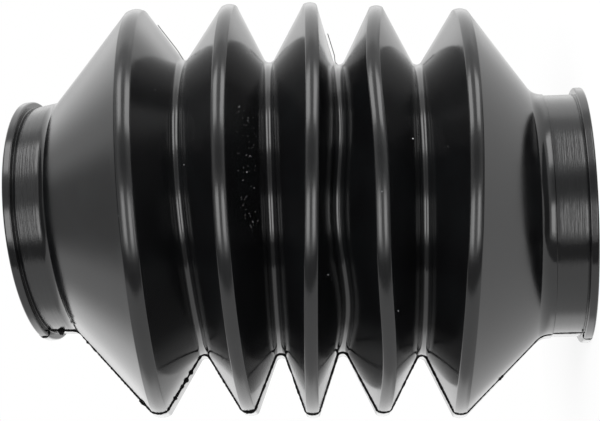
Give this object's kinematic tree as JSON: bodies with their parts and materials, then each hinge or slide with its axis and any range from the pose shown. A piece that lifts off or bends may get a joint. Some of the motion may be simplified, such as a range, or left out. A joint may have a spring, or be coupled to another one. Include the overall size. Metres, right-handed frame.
{
  "type": "rubber bellows boot",
  "caption": "Moulded rubber bellows boot: a folded flexible sleeve with a clamp collar at each end, keeping grease in and dirt out around a moving shaft or joint.",
  "frame": {"origin": "centre of the lower collar's rim, in the plane that the boot stands on", "axes": "+Z along the boot from the lower, wider collar to the upper one; +X towards the side that the boot arches to; -Y towards the side that the moulding's parting line lies on"},
  "size_m": [0.1022, 0.1008, 0.1363],
  "materials": {
    "rubber": "moulded black rubber, semi-gloss"
  },
  "bodies": {
    "root": {"bellows_boot": "rubber"}
  },
  "joints": []
}
